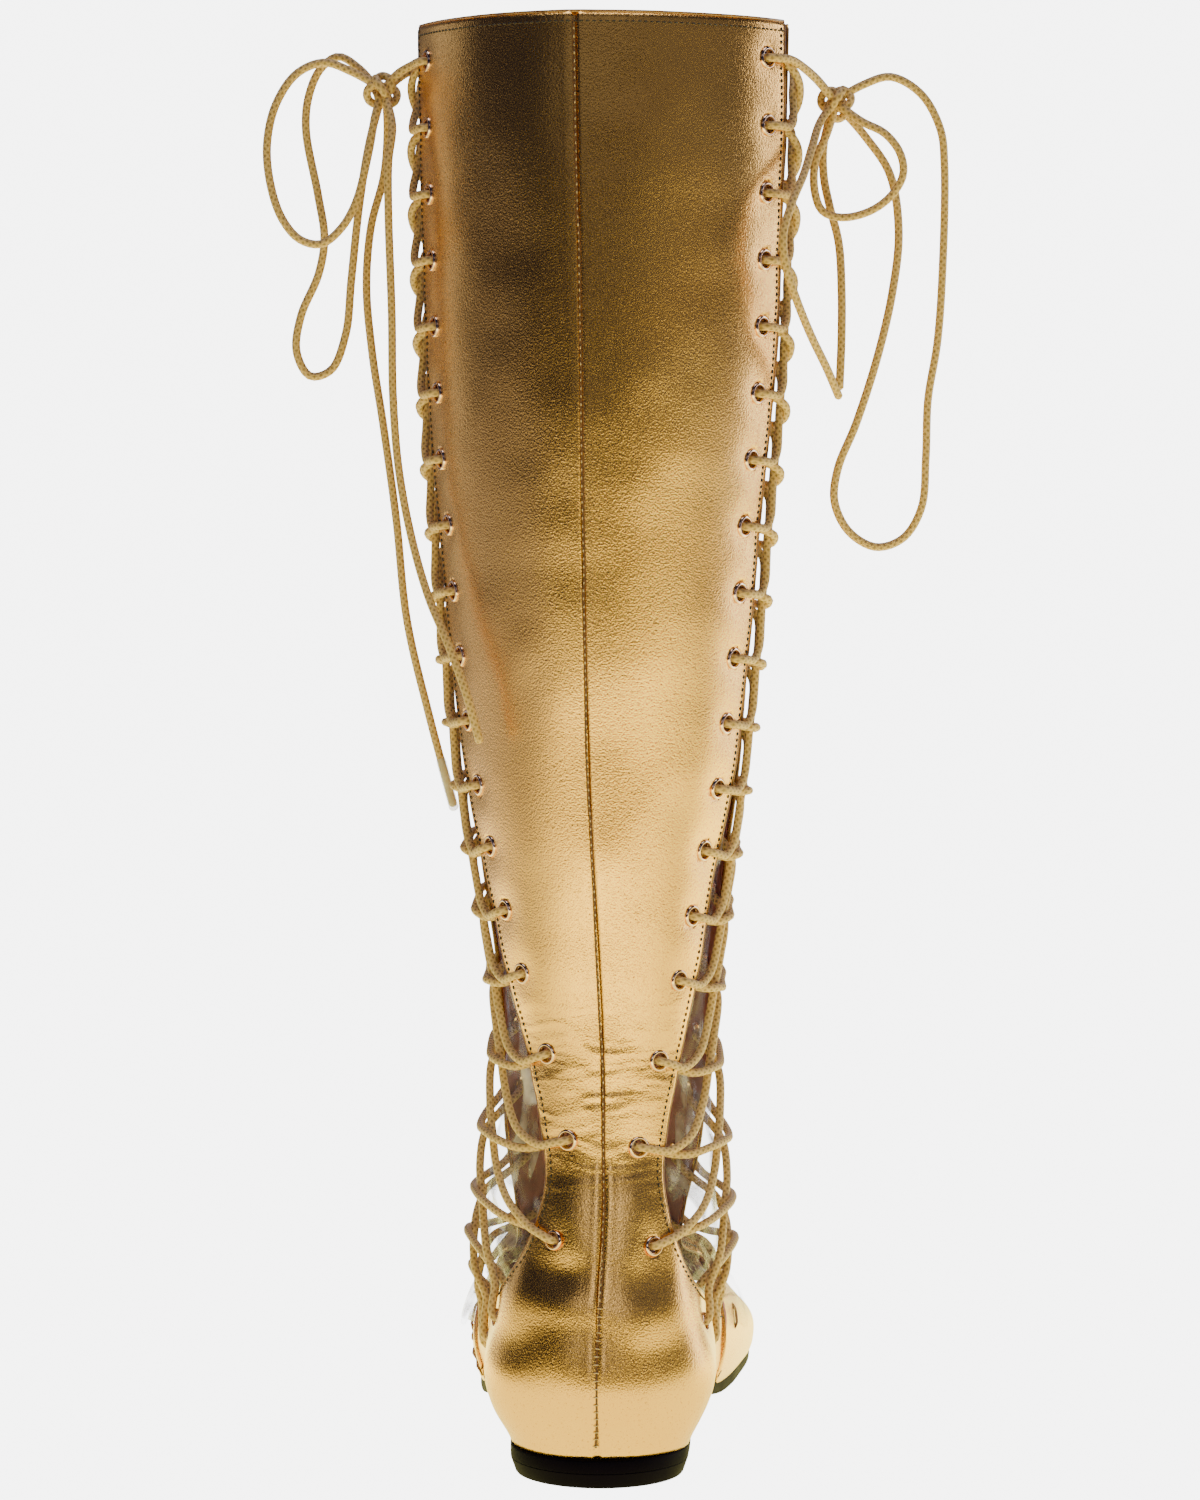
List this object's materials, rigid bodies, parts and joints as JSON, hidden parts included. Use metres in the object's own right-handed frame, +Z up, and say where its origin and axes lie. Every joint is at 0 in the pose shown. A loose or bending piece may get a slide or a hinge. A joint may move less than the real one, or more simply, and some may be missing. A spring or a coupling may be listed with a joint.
{
  "type": "gladiator sandal",
  "caption": "Knee-high flat gladiator sandal for the left foot, open-toed, with metallic leather panels, clear side gussets and a laced bow on each side.",
  "frame": {"origin": "on the floor under the middle of the sandal's box, without the free lace ends", "axes": "+Z up the leg, -Y towards the toes, +X towards the outer side of the left foot"},
  "size_m": [0.2276, 0.2662, 0.4781],
  "materials": {
    "metallic_leather": "gold foil on fine-grained leather, folded and wrinkled at the ankle",
    "lining": "plain brown lining and insole, matt",
    "clear_vinyl": "clear soft vinyl sheet, glossy, lightly creased",
    "lace_cord": "round braided and waxed tan cord",
    "rubber": "black moulded rubber, satin",
    "eyelet_metal": "polished pale rose-gold eyelet rings",
    "thread": "dark brown stitching"
  },
  "bodies": {
    "root": {"outsole": "rubber", "heel_block": "rubber", "insole": "lining", "upper": "metallic_leather", "gusset_lateral": "clear_vinyl", "gusset_medial": "clear_vinyl", "lacing_lateral": "lace_cord", "lacing_medial": "lace_cord", "lace_knot_lateral": "lace_cord", "lace_round_loop_lateral": "lace_cord", "lace_long_loop_lateral": "lace_cord", "lace_long_end_lateral": "lace_cord", "lace_short_end_lateral": "lace_cord", "lace_knot_medial": "lace_cord", "lace_round_loop_medial": "lace_cord", "lace_long_loop_medial": "lace_cord", "lace_long_end_medial": "lace_cord", "lace_short_end_medial": "lace_cord"}
  },
  "joints": []
}
